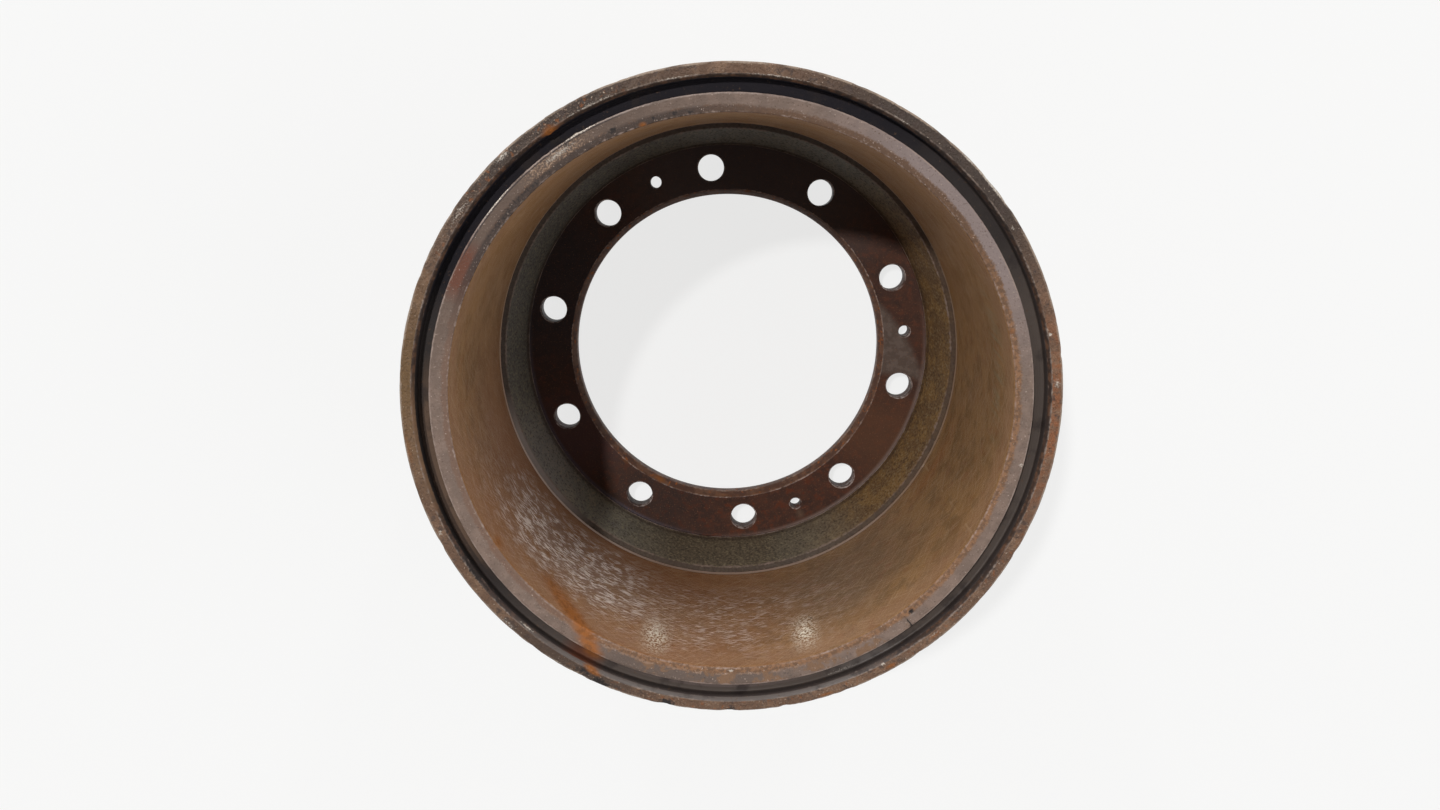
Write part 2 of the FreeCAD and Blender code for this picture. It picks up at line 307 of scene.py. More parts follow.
def drilled_sector(outline, height, surface, hole_angle, hole_r, start_turn, way):
    """A sector with a hole. Rings go from the outline to the hole in shares of the way, and each point of
    the hole's edge stands at an even turn round the hole from start_turn. Returns the edge's points."""
    first, right, last, left = outline
    loop = np.concatenate([first, right, last[::-1], left[::-1]])
    known = points_at(loop)
    turn = start_turn + way * np.arange(AROUND_HOLE) * FULL_TURN / AROUND_HOLE + hole_angle
    centre = plane(BOLT_CIRCLE_R, hole_angle)
    edge_r = hole_r + HOLE_EDGE
    margin = centre + plane(edge_r + HOLE_MARGIN, turn)
    outer = plane(known[:, 0], known[:, 1])
    rows = [loop]
    for share in RING_SHARES:
        place = outer * (1 - share) + margin * share
        rows.append(add_plane_points(place, height, 0.0))
    rows.append(add_plane_points(centre + plane(edge_r, turn), height, HOLE_EDGE_WEAR))
    for lower, upper in zip(rows, rows[1:]):
        band(lower, upper, surface)
    return rows[-1]


def add_plane_points(place, height, wear):
    """Adds points at places in the plane."""
    radius = np.hypot(place[:, 0], place[:, 1])
    angle = np.degrees(np.arctan2(place[:, 0], place[:, 1]))
    return add_points(radius, angle, height, wear)


top_outlines = sector_outlines(inside_rows[-1], bore_rows[0], FLANGE_Z)
bottom_outlines = sector_outlines(bore_rows[-1], outside_rows[0], 0.0)
for sector in range(SECTORS):
    middle = (FIRST_STATION + SECTOR / 2 + sector * SECTOR) % FULL_TURN
    screw = any(abs(middle - place) < 1 for place in SCREW_PLACES)
    if sector % 2 == 0 and not screw:
        plain_sector(top_outlines[sector], FLANGE_Z, "flange")
        plain_sector(bottom_outlines[sector], 0.0, "turned_outside")
        continue
    hole_r = SCREW_HOLE_R if screw else BOLT_HOLE_R
    half_arc = SECTOR_STEPS / AROUND_HOLE * FULL_TURN / 2
    top_edge = drilled_sector(top_outlines[sector], FLANGE_Z, "flange", middle, hole_r, -half_arc, 1)
    bottom_edge = drilled_sector(bottom_outlines[sector], 0.0, "turned_outside", middle, hole_r,
                                 half_arc - 180, -1)
    centre = plane(BOLT_CIRCLE_R, middle)
    around = middle - half_arc + np.arange(AROUND_HOLE) * FULL_TURN / AROUND_HOLE
    wall = [top_edge]
    for height in np.linspace(FLANGE_Z - HOLE_EDGE, HOLE_EDGE, HOLE_WALL_STEPS + 1):
        wear = HOLE_WALL_WEAR if height > FLANGE_Z / 2 else 0.0
        wall.append(add_plane_points(centre + plane(hole_r, around), height, wear))
    matching = (2 * SECTOR_STEPS + SIDE_STEPS - np.arange(AROUND_HOLE)) % AROUND_HOLE
    wall.append(bottom_edge[matching])
    for lower, upper in zip(wall, wall[1:]):
        band(lower, upper, "flange")

# Wear and rust change the shape a little: the cast skin is uneven, the top of the lip is pitted and
# chipped, rust scale stands on the land, and a nick cuts its edge. Heights are in millimetres along the
# surface's own direction, and a negative one goes into the metal. The mounting face and the metal close
# round the holes stay true.
CIRCLE = 1400.0
LATTICE_ROWS = 512
CONE_SPAN = (22, 66)
TRUE_BELOW = 0.5
TRUE_ROUND_HOLES = 2
table = np.concatenate(points)
radius, angle, height, worn = table.T
angle = angle % FULL_TURN
surface_weight = np.zeros((len(SURFACES), len(table)))
for faces, surfaces in ((quads, quad_surface), (triangles, triangle_surface)):
    for numbers, kinds in zip(faces, surfaces):
        surface_weight[kinds[:, None], numbers] = 1
on = dict(zip(SURFACES, surface_weight))


def ring_noise(size, seed, along=radius + height):
    """Smooth random heights from -1 to 1: random numbers on a lattice of square cells that closes round the
    ring, blended between neighbours by 3t2 - 2t3."""
    around = round(CIRCLE / size)
    lattice = np.random.default_rng(seed).uniform(-1, 1, (around, LATTICE_ROWS))
    across = angle / FULL_TURN * around
    rise = along / size
    left = np.floor(across).astype(int)
    low = np.floor(rise).astype(int)
    across_share = across - left
    rise_share = rise - low
    across_share = across_share ** 2 * (3 - 2 * across_share)
    rise_share = rise_share ** 2 * (3 - 2 * rise_share)
    corners = [lattice[(left + side) % around, (low + step) % LATTICE_ROWS]
               for step in (0, 1) for side in (0, 1)]
    lower = corners[0] * (1 - across_share) + corners[1] * across_share
    upper = corners[2] * (1 - across_share) + corners[3] * across_share
    return lower * (1 - rise_share) + upper * rise_share


def spot(place, half_width, where, half_length=None):
    """A soft round spot, 1 in its middle: exp(-d2), with d the distance in half widths. place is a clockwise
    angle, and where is a radius and a height. half_width runs round the ring, half_length across it."""
    round_ring = (angle - place + FULL_TURN / 2) % FULL_TURN - FULL_TURN / 2
    sideways = np.radians(round_ring) * where[0]
    across = np.hypot(radius - where[0], height - where[1])
    return np.exp(-(sideways / half_width) ** 2 - (across / (half_length or half_width)) ** 2)


def arc(start, end, soft=3.0):
    """1 between two clockwise angles, with ends that fade over soft degrees."""
    middle = start + ((end - start) % FULL_TURN) / 2
    half = ((end - start) % FULL_TURN) / 2
    off = np.abs((angle - middle + FULL_TURN / 2) % FULL_TURN - FULL_TURN / 2)
    return np.clip((half - off) / soft + 0.5, 0, 1)


# Chips on the two edges of the lip: angle, radius, depth, width
LIP_CHIPS = (
    (4, 230.6, 0.5, 3), (21, 238.4, 0.5, 2.5), (33, 230.5, 0.7, 2), (48, 238.5, 0.8, 6),
    (53, 238.5, 0.7, 4), (58, 230.4, 0.5, 2), (81, 238.4, 0.6, 3), (104, 230.6, 0.6, 3),
    (118, 238.4, 0.8, 4), (131, 230.5, 0.6, 3), (143, 238.4, 0.8, 5), (158, 238.5, 0.6, 3),
    (170, 238.5, 1.0, 3), (180, 238.4, 1.1, 4), (192, 238.5, 0.9, 4), (205, 236.0, 0.9, 5),
    (208.5, 237.5, 1.0, 4), (219, 238.4, 0.7, 4), (231, 230.6, 0.6, 3), (244, 238.4, 0.7, 4),
    (262, 230.5, 0.5, 3), (277, 238.4, 0.3, 3), (294, 238.4, 0.25, 4), (305, 230.4, 0.9, 4),
    (312, 238.4, 0.4, 4), (319, 230.6, 0.9, 3), (326, 230.5, 1.0, 5), (333, 230.5, 0.8, 4),
    (341, 230.4, 0.8, 5), (349, 230.6, 0.6, 3),
)
FLAKE = (327.0, (229.0, 276.5))
NICK = (139.5, (209.5, 274.0))
grain = ring_noise(2.2, 11)
scale = np.clip(ring_noise(6.5, 12) + 0.3 * grain, -0.2, 1)
relief = on["cast_outside"] * (0.40 * ring_noise(23, 13) + 0.22 * ring_noise(9, 14))
on_cone = on["cone"] * (height > CONE_SPAN[0]) * (height < CONE_SPAN[1])
relief += on_cone * (0.18 * ring_noise(14, 15) + 0.10 * ring_noise(5, 16))
rough_lip = 0.35 + 0.65 * np.maximum.reduce([arc(95, 225), arc(285, 350), arc(25, 45)])
relief -= on["lip"] * rough_lip * (0.10 + 0.16 * np.clip(grain, 0, 1) + 0.22 * scale)
for place, reach, depth, width in LIP_CHIPS:
    ragged = np.clip(1 + 0.6 * ring_noise(1.9, 17), 0.3, 2)
    relief -= depth * ragged * spot(place, width, (reach, MOUTH_Z - 0.6), 1.1)
relief += on["land"] * (0.05 * grain - 0.06 * scale) + on["land"] * arc(314, 336) * 0.16 * grain
relief += on["groove"] * (0.06 * grain + 0.05 * scale)
relief += 1.5 * spot(FLAKE[0], 4.5, FLAKE[1], 3.0) * np.clip(0.7 + ring_noise(3.1, 18), 0, 1.6)
relief += 1.6 * spot(326.6, 4.0, (222.6, 266.8), 2.0) + 0.7 * spot(330.5, 3.0, (218.6, 274.8), 1.5)
relief -= 1.6 * spot(NICK[0], 1.7, NICK[1], 1.6) + 0.7 * spot(141.5, 0.9, (214.5, 274.6), 4.5)
relief -= on["turned_outside"] * 0.05 * np.clip(scale, 0, 1)
near_holes = np.abs(radius - BOLT_CIRCLE_R) < BOLT_HOLE_R + TRUE_ROUND_HOLES
relief[(height <= TRUE_BELOW) | near_holes & (height <= FLANGE_Z)] = 0

# The solid is one closed mesh. Each point moves along its own normal by its relief, and stays inside the
# turned size of the drum.
turn = np.radians(angle)
place = np.stack([radius * np.sin(turn), radius * np.cos(turn), height], axis=-1)
mesh = bpy.data.meshes.new("drum_casting")
faces = np.concatenate(quads).tolist() + np.concatenate(triangles).tolist()
mesh.from_pydata(place, [], faces)
mesh.update()
normals = np.zeros(len(place) * 3)
mesh.vertex_normals.foreach_get("vector", normals)
place += normals.reshape(-1, 3) * relief[:, None]
reach = np.hypot(place[:, 0], place[:, 1])
place[:, :2] *= np.minimum(1, MOUTH_R / reach)[:, None]
place[:, 2] = np.clip(place[:, 2], 0, MOUTH_Z)
mesh.vertices.foreach_set("co", (place * MILLIMETRE).ravel())
mesh.polygons.foreach_set("material_index", np.concatenate(quad_surface + triangle_surface))
mesh.polygons.foreach_set("use_smooth", np.ones(len(faces), bool))
mesh.update()
casting = bpy.data.objects.new("drum_casting", mesh)
bpy.context.scene.collection.objects.link(casting)
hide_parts("brake_drum")
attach(casting, "root")


def paint_mask(name, amount):
    """Keeps a value from 0 to 1 for each point, which the materials read by its name."""
    layer = mesh.attributes.new(name, "FLOAT", "POINT")
    layer.data.foreach_set("value", np.clip(amount, 0, 1).astype(np.float32))


# Where the surface is worn bright, runs with orange rust or is dark with grime: angle, half width in
# millimetres, radius and height, half length, strength
ORANGE_MARKS = (
    (206.8, 7, (231.3, 278.3), 2.0, 1.0), (207.6, 7, (229.6, 277), 3.0, 0.95),
    (208.4, 12, (223, 266.9), 5, 0.7), (208.8, 11, (218.8, 271), 5, 0.95),
    (209.2, 11, (217, 275), 4.0, 1.0), (210.3, 12, (213.5, 274.6), 4.0, 1.0),
    (211.8, 13, (209, 274), 4.0, 1.0), (213, 13, (205.5, 273), 4.0, 1.0), (214.8, 14, (205, 268), 7, 1.0),
    (216.4, 14, (205, 262), 11, 1.0), (218.4, 14, (205, 255), 13, 0.92), (220.6, 14, (205, 247), 13, 0.84),
    (223.0, 14, (205, 238), 13, 0.68), (238.5, 7, (205, 264), 12, 0.72), (342.6, 3, (206, 273.6), 2, 1.0),
    (327.0, 7, (229.2, 276.5), 4.5, 1.0), (75, 3.0, (207, 273.7), 3, 0.6), (139, 9, (234, 278.5), 2, 0.6),
    (149, 6, (235, 278.5), 2, 0.8), (162, 9, (236, 278.5), 1.6, 0.7), (116, 30, (236, 278.5), 3, 0.35),
    (262, 22, (236, 278.5), 3, 0.45), (84, 60, (236, 278.5), 5, 0.3), (207, 8, (145.5, 14), 4, 0.8),
    (182, 14, (146, 14), 3, 0.5), (168, 10, (147, 16), 3, 0.45), (7, 5, (146.5, 15.5), 3, 0.6),
    (345, 5, (146.5, 15.5), 3, 0.6), (222, 7, (148.5, 17), 3, 0.5),
)
BARE_MARKS = (
    (49, 20, (237.6, 278.3), 1.3, 0.8), (43, 8, (237.8, 278.2), 1.2, 0.75),
    (57, 1.4, (233, 278.5), 1.2, 0.8), (77, 1.6, (232, 278.5), 1.8, 0.95),
    (86, 4.0, (234, 278.5), 2.8, 0.62), (150, 2.4, (231, 278.5), 1.3, 0.75),
    (246, 2.6, (235, 278.5), 2.0, 0.7), (335, 26, (231.0, 278.4), 1.0, 0.62),
    (350, 24, (230.9, 278.4), 0.9, 0.6), (8, 28, (230.8, 278.4), 0.9, 0.6),
    (30, 12, (230.8, 278.4), 0.9, 0.5), (318, 9, (236, 278.4), 2.6, 0.6),
    (326, 16, (214, 274.6), 2.6, 0.62), (331, 20, (217.9, 275), 0.9, 0.8),
    (311, 20, (218.2, 275), 0.8, 0.8), (180, 2.2, (207.5, 273.8), 1.1, 1.0),
    (102, 1.2, (217, 275), 2.0, 1.0), (98.5, 1.1, (205, 250), 1.8, 0.8), (222, 9, (229.5, 277), 1.2, 0.7),
    (158, 16, (226.5, 266.9), 0.8, 0.55), (213, 16, (237.5, 278), 1.6, 0.45),
    (225, 10, (236, 278.4), 2.4, 0.5), (306, 14, (234, 278.4), 2.6, 0.5), (139, 12, (233, 278.5), 1.2, 0.5),
)
DARK_MARKS = (
    (192, 7, (237, 278.4), 4, 1.0), (205, 10, (236.5, 278.4), 4, 0.9), (208.5, 9, (233, 278.4), 4, 0.7),
    (180, 5, (238, 278), 4, 0.8), (236.5, 24, (229.5, 277), 3, 0.8), (139.5, 2.4, (209.3, 274), 2.4, 1.0),
    (141.3, 0.9, (216, 274.8), 7, 0.9), (314, 45, (208.5, 273.9), 4, 0.55),
    (345, 2, (208, 273.9), 1.5, 0.9), (349, 2, (208, 273.9), 1.5, 0.9),
    (352, 2.4, (207.4, 273.9), 1.3, 0.9), (337, 4, (210, 274), 3, 0.8), (181, 1.6, (205, 256), 1.6, 0.9),
    (161, 2.0, (205, 206), 3, 0.8), (24, 9, (212, 274), 5, 0.25), (33, 4, (213, 274), 6, 0.3),
    (155, 8, (214, 274.5), 5, 0.35), (168, 14, (214, 274.5), 5, 0.3), (186, 14, (214, 274.5), 5, 0.3),
    (328.2, 6, (219, 271), 6, 1.0), (326.6, 6, (222.6, 267), 4, 1.0), (206.5, 20, (237, 278.4), 4, 0.6),
)
for name, marks in (("orange", ORANGE_MARKS), ("bare", BARE_MARKS), ("dark", DARK_MARKS)):
    amounts = [strength * spot(where, half_width, middle, half_length)
               for where, half_width, middle, half_length, strength in marks]
    paint_mask(name, np.maximum.reduce(amounts))
paint_mask("edge", worn)

# The nine surfaces of the casting are made with a few effects that they share, each with its own values.
# Colours are given as they show on a screen, from 0 to 255, and sizes in metres.


def paint(red, green, blue):
    """The linear values that a shader takes for a colour: a straight line below 10, a power of 2.4 above."""
    shares = [channel / 255 for channel in (red, green, blue)]
    linear = [share / 12.92 if share <= 0.04045 else ((share + 0.055) / 1.055) ** 2.4 for share in shares]
    return [*linear, 1.0]


class Nodes:
    """A node tree that is being filled. Each method adds a node, and gives back what comes out of it."""

    def __init__(self, tree):
        self.tree = tree

    def add(self, kind, inputs=None, **settings):
        """The outputs of a new node. An input is another node's output to join, or a value to set."""
        node = self.tree.nodes.new("ShaderNode" + kind)
        for name, setting in settings.items():
            setattr(node, name, setting)
        for key, given in (inputs or {}).items():
            if isinstance(given, bpy.types.NodeSocket):
                self.tree.links.new(given, node.inputs[key])
            else:
                node.inputs[key].default_value = given
        return node.outputs

    def calc(self, operation, *values, clamp=False):
        """The result of one calculation. clamp keeps it between 0 and 1."""
        return self.add("Math", dict(enumerate(values)), operation=operation, use_clamp=clamp)[0]

    def both(self, *masks):
        """Masks multiplied with each other."""
        product = masks[0]
        for mask in masks[1:]:
            product = self.calc("MULTIPLY", product, mask)
        return product

    def eased(self, value, low, high, start=0.0, end=1.0):
        """A value from low to high as a smooth step from start to end."""
        inputs = {"Value": value, "From Min": low, "From Max": high, "To Min": start, "To Max": end}
        return self.add("MapRange", inputs, interpolation_type="SMOOTHSTEP")["Result"]

    def mixed(self, factor, *colours):
        """Two colours mixed by a factor."""
        under, over = (paint(*colour) if isinstance(colour, tuple) else colour for colour in colours)
        return self.add("Mix", {0: factor, 6: under, 7: over}, data_type="RGBA")[2]


class Effect(Nodes):
    """A node group that surfaces share. It takes and gives numbers, and only the place is a vector."""

    def __init__(self, name, inputs, outputs):
        super().__init__(bpy.data.node_groups.new(name, "ShaderNodeTree"))
        for labels, way in ((inputs, "INPUT"), (outputs, "OUTPUT")):
            for label in labels:
                kind = "NodeSocketVector" if label == "Vector" else "NodeSocketFloat"
                self.tree.interface.new_socket(label, in_out=way, socket_type=kind)
        self.given = self.tree.nodes.new("NodeGroupInput").outputs
        self.results = self.tree.nodes.new("NodeGroupOutput").inputs

    def give(self, **results):
        """Joins the results to the group's own outputs."""
        for label, result in results.items():
            self.tree.links.new(result, self.results[label])


# Place on the ring: clockwise angle in degrees, radius and height
ring_place = Effect("ring place", ["Vector"], ["Angle", "Radius", "Height"])
axes = ring_place.add("SeparateXYZ", {0: ring_place.given["Vector"]})
turned = ring_place.calc("DEGREES", ring_place.calc("ARCTAN2", axes["X"], axes["Y"]))
squares = [ring_place.calc("POWER", axes[name], 2.0) for name in "XY"]
ring_place.give(Angle=ring_place.calc("WRAP", turned, 360.0, 0.0),
                Radius=ring_place.calc("SQRT", ring_place.calc("ADD", *squares)), Height=axes["Z"])

# Mottle: cloudy patches of one size, cut off softly between Low and High
mottle = Effect("mottle", ["Vector", "Size", "Low", "High"], ["Mask", "Height"])
given = mottle.given
fineness = mottle.calc("DIVIDE", 1.0, given["Size"])
cloud = mottle.add("TexNoise", {"Vector": given["Vector"], "Scale": fineness, "Detail": 5.0,
                                "Roughness": 0.6})["Fac"]
mottle.give(Mask=mottle.eased(cloud, given["Low"], given["High"]), Height=cloud)

# Turning marks: fine rings left by the lathe tool. The noise reads radius and height in steps of the
# pitch, and the place itself only weakly, so that the rings slowly change along their length.
turning = Effect("turning marks", ["Vector", "Pitch"], ["Height"])
given = turning.given
found = turning.add("Group", {"Vector": given["Vector"]}, node_tree=ring_place.tree)
steps = [turning.calc("DIVIDE", found[axis], given["Pitch"]) for axis in ("Radius", "Height")]
ringed = turning.add("CombineXYZ", {"X": steps[0], "Y": steps[1]})[0]
drift = turning.add("VectorMath", {0: given["Vector"], "Scale": 9.0}, operation="SCALE")[0]
moved = turning.add("VectorMath", {0: ringed, 1: drift}, operation="ADD")[0]
turning.give(Height=turning.add("TexNoise", {"Vector": moved, "Scale": 1.0, "Detail": 2.0})["Fac"])

# Sand grain: the skin that the mould leaves on the casting, with pale and dark specks
sand = Effect("sand grain", ["Vector", "Size"], ["Height", "Speck"])
given = sand.given
fineness = sand.calc("DIVIDE", 1.0, given["Size"])
grains = sand.add("TexVoronoi", {"Vector": given["Vector"], "Scale": fineness},
                  feature="SMOOTH_F1")["Distance"]
cloud = sand.add("TexNoise", {"Vector": given["Vector"], "Scale": fineness, "Detail": 3.0})["Fac"]
sand.give(Height=sand.calc("SUBTRACT", cloud, grains), Speck=cloud)

# Rubbed scratches: long thin marks that climb the bore at a slope, in radians round the axis for each
# metre of height
rubbed = Effect("rubbed scratches", ["Vector", "Slope", "Width", "Low", "High"], ["Mask"])
given = rubbed.given
rise = rubbed.add("SeparateXYZ", {0: given["Vector"]})["Z"]
leaned = rubbed.add("VectorRotate", {"Vector": given["Vector"],
                                     "Angle": rubbed.calc("MULTIPLY", rise, given["Slope"])},
                    rotation_type="Z_AXIS")[0]
fineness = rubbed.calc("DIVIDE", 1.0, given["Width"])
along = rubbed.calc("MULTIPLY", fineness, 0.06)
stretch = rubbed.add("CombineXYZ", {"X": fineness, "Y": fineness, "Z": along})[0]
drawn = rubbed.add("VectorMath", {0: leaned, 1: stretch}, operation="MULTIPLY")[0]
marks = rubbed.add("TexNoise", {"Vector": drawn, "Scale": 1.0, "Detail": 2.0})["Fac"]
rubbed.give(Mask=rubbed.eased(marks, given["Low"], given["High"]))

# Brushed strokes: short thin marks that run round the bore, and climb by Lean metres for each metre of run
brushed = Effect("brushed strokes", ["Vector", "Lean", "Width", "Length", "Low", "High"], ["Mask"])
given = brushed.given
found = brushed.add("Group", {"Vector": given["Vector"]}, node_tree=ring_place.tree)
run = brushed.calc("MULTIPLY", found["Angle"], math.radians(1) * FRICTION_R * MILLIMETRE)
climb = brushed.calc("MULTIPLY_ADD", run, given["Lean"], found["Height"])
drawn = brushed.add("CombineXYZ", {"X": brushed.calc("DIVIDE", run, given["Length"]),
                                   "Y": brushed.calc("DIVIDE", climb, given["Width"])})[0]
marks = brushed.add("TexNoise", {"Vector": drawn, "Scale": 1.0, "Detail": 2.0}, noise_dimensions="2D")["Fac"]
brushed.give(Mask=brushed.eased(marks, given["Low"], given["High"]))

# Ragged edge: a painted mask whose border is broken up by a fine cloud
ragged_mask = Effect("ragged mask", ["Mask", "Vector", "Size", "Break"], ["Mask"])
given = ragged_mask.given
fineness = ragged_mask.calc("DIVIDE", 1.0, given["Size"])
cloud = ragged_mask.add("TexNoise", {"Vector": given["Vector"], "Scale": fineness, "Detail": 4.0})["Fac"]
sway = ragged_mask.calc("MULTIPLY", ragged_mask.calc("SUBTRACT", cloud, 0.5), given["Break"])
ragged_mask.give(Mask=ragged_mask.eased(ragged_mask.calc("ADD", given["Mask"], sway), 0.3, 0.8))

# Arc band: 1 on the surface between two angles and between two places across, with soft ends
arc_band = Effect("arc band", ["Angle", "Middle", "Half", "Soft", "Across", "Across middle", "Across half",
                               "Across soft"], ["Mask"])
given = arc_band.given
turned = arc_band.calc("WRAP", arc_band.calc("SUBTRACT", given["Angle"], given["Middle"]), 180.0, -180.0)
side = arc_band.calc("SUBTRACT", given["Across"], given["Across middle"])
shares = [arc_band.calc("DIVIDE", arc_band.calc("SUBTRACT", given[half], arc_band.calc("ABSOLUTE", away)),
                        given[soft], clamp=True)
          for half, away, soft in (("Half", turned, "Soft"), ("Across half", side, "Across soft"))]
arc_band.give(Mask=arc_band.calc("MULTIPLY", *shares))

FRESH_RUST = (140, 82, 30)
OLD_RUST = (118, 70, 28)
BARE_IRON = (182, 172, 160)
GRIME = (38, 32, 30)
BORDER_BREAK = 1.3


class Skin(Nodes):
    """One surface of the casting in the making: its nodes, the place on the ring that its effects read, and
    its look so far, a value or a node's output for each of the shader's inputs."""

    def __init__(self, name, colour, roughness, specular, metallic=0.0, **more):
        self.material = bpy.data.materials.new(name)
        self.material.use_nodes = True
        super().__init__(self.material.node_tree)
        self.vector = self.add("TexCoord")["Object"]
        self.found = self.effect(ring_place)
        self.look = {"Base Color": paint(*colour), "Roughness": roughness, "Metallic": metallic,
                     "Specular IOR Level": specular}
        self.look.update({label.replace("_", " "): given for label, given in more.items()})

    def effect(self, group, **inputs):
        """The outputs of an effect, placed with its own values at the surface's own place."""
        return self.add("Group", {"Vector": self.vector, **inputs}, node_tree=group.tree)

    def clouds(self, size, low=0.45, high=0.6):
        """Patches of one size, where a cloudy noise rises from low to high."""
        return self.effect(mottle, Size=size, Low=low, High=high)["Mask"]

    def zone(self, middle, half, soft=6.0, across=None, at=0.0, reach=1.0, fade=0.002):
        """1 on a stretch of the ring in degrees, and in a band across it where across names Radius or
        Height. half and reach count the soft ends in."""
        inputs = {"Angle": self.found["Angle"], "Middle": middle, "Half": half, "Soft": soft,
                  "Across": self.found[across] if across else 0.0, "Across middle": at, "Across half": reach,
                  "Across soft": fade}
        return self.add("Group", inputs, node_tree=arc_band.tree)["Mask"]

    def painted(self, name, size=0.002):
        """A painted mask with a ragged border."""
        mask = self.add("Attribute", attribute_name=name)["Fac"]
        return self.effect(ragged_mask, Mask=mask, Size=size, Break=BORDER_BREAK)["Mask"]

    def cover(self, mask, colour=None, roughness=None, share=None, metallic=None):
        """Covers the look so far where the mask is 1, or in part where a share is given."""
        if share is not None:
            mask = self.calc("MULTIPLY", mask, share)
        if colour is not None:
            self.look["Base Color"] = self.mixed(mask, self.look["Base Color"], colour)
        for name, given in (("Roughness", roughness), ("Metallic", metallic)):
            if given is not None:
                change = self.calc("SUBTRACT", given, self.look[name])
                self.look[name] = self.calc("MULTIPLY_ADD", change, mask, self.look[name])

    def finish(self, height, depth, worn_colour):
        """Lays the worn edges and the painted marks over the look, and joins all to the shader. depth is the
        bump's."""
        edge = self.both(self.painted("edge", 0.003), self.clouds(0.02, 0.35, 0.6))
        self.cover(edge, worn_colour, 0.45)
        self.cover(self.painted("dark"), GRIME, 0.8)
        rust_shade = self.mixed(self.clouds(0.004), FRESH_RUST, OLD_RUST)
        rust_mask = self.add("Attribute", attribute_name="orange")["Fac"]
        cloud = self.effect(mottle, Size=0.004)["Height"]
        rust_mask = self.calc("MULTIPLY_ADD", self.calc("SUBTRACT", cloud, 0.5), 0.6, rust_mask)
        self.cover(self.eased(rust_mask, 0.16, 0.95, 0.0, 0.92), rust_shade, 0.85, metallic=0.0)
        self.cover(self.painted("bare", 0.0012), BARE_IRON, 0.4, metallic=0.3)
        shader = self.tree.nodes["Principled BSDF"]
        bump = self.add("Bump", {"Height": height, "Distance": depth, "Strength": 1.0})[0]
        for name, given in (*self.look.items(), ("Normal", bump)):
            if isinstance(given, bpy.types.NodeSocket):
                self.tree.links.new(given, shader.inputs[name])
            else:
                shader.inputs[name].default_value = given
        mesh.materials.append(self.material)


# Outside, the mouth band, the flange rim and the mounting face are turned. Fine rings show under brown rust,
# with runs and spots where water stood.
skin = Skin("turned_outside", (104, 80, 65), 0.6, 0.35)
rings = skin.effect(turning, Pitch=0.0009)["Height"]
skin.cover(skin.eased(rings, 0.35, 0.7), (124, 98, 81))
skin.cover(skin.clouds(0.035, 0.4, 0.65), (128, 90, 66), 0.7)
skin.cover(skin.clouds(0.009, 0.5, 0.66), (76, 57, 47), 0.75, 0.55)
skin.cover(skin.clouds(0.005, 0.58, 0.7), (142, 88, 50), 0.85, 0.7)
skin.cover(skin.clouds(0.0022, 0.66, 0.72), (160, 146, 134), 0.45)
runs = skin.effect(rubbed, Slope=0.0, Width=0.007, Low=0.46, High=0.68)["Mask"]
skin.cover(runs, (84, 62, 50), 0.7, 0.4)
grit = skin.effect(sand, Size=0.0011)["Height"]
height = skin.calc("MULTIPLY_ADD", grit, 0.6, rings)
skin.finish(height, 0.00022, (150, 132, 118))

# The wall and the cone outside keep the rough skin that the mould left. It is rusted in patches, and more
# orange towards the foot.
skin = Skin("cast_outside", (88, 67, 54), 0.72, 0.25)
grit = skin.effect(sand, Size=0.0016)
skin.cover(skin.clouds(0.09, 0.35, 0.68), (104, 77, 59), 0.85)
skin.cover(skin.clouds(0.02, 0.42, 0.7), (78, 59, 49), 0.75, 0.55)
skin.cover(skin.clouds(0.006, 0.5, 0.66), (66, 51, 44), 0.75, 0.45)
skin.cover(skin.clouds(0.011, 0.54, 0.72), (138, 88, 54), 0.9, 0.6)
skin.cover(skin.eased(grit["Speck"], 0.55, 0.72), (134, 106, 86), share=0.5)
skin.cover(skin.eased(grit["Speck"], 0.45, 0.3), (54, 42, 36), share=0.6)
runs = skin.effect(rubbed, Slope=0.0, Width=0.009, Low=0.44, High=0.7)["Mask"]
skin.cover(runs, (64, 49, 42), 0.75, 0.45)
low_rust = skin.eased(skin.found["Height"], 0.075, 0.035)
skin.cover(low_rust, (122, 80, 52), 0.8, 0.35)
pores = skin.effect(mottle, Size=0.006, Low=0.3, High=0.7)["Height"]
height = skin.calc("MULTIPLY_ADD", pores, 1.5, grit["Height"])
skin.finish(height, 0.0005, (140, 104, 80))

# The top of the lip is handled and knocked. It is brown and orange with rust, dark with grease at the top,
# and scuffed bare on its edges.
skin = Skin("lip", (96, 71, 54), 0.62, 0.35)
skin.cover(skin.clouds(0.014), (115, 88, 68), 0.55)
left = skin.zone(275.0, 25.0, 22.0)
skin.cover(left, (98, 73, 42), share=0.85)
right = skin.zone(92.0, 25.0, 20.0)
skin.cover(skin.both(right, skin.clouds(0.009, 0.35, 0.6)), (126, 78, 48), 0.7)
greasy = skin.calc("MAXIMUM", skin.zone(325.0, 34.0, 24.0), skin.zone(40.0, 34.0, 20.0))
skin.cover(greasy, (52, 42, 36), 0.58, 0.9)
skin.cover(skin.zone(211.0, 20.0, 12.0), (56, 45, 38), 0.55, 0.7)
stained = skin.both(skin.clouds(0.007, 0.53, 0.64), skin.calc("SUBTRACT", 1.0, left))
skin.cover(stained, (62, 48, 42), 0.6, 0.75)
rough_part = skin.calc("MAXIMUM", skin.zone(155.0, 62.0, 24.0), skin.zone(318.0, 30.0, 14.0))
fresh = skin.both(rough_part, skin.clouds(0.0045, 0.57, 0.66))
skin.cover(fresh, (124, 76, 44), 0.85, 0.7)
grit = skin.effect(sand, Size=0.0014)
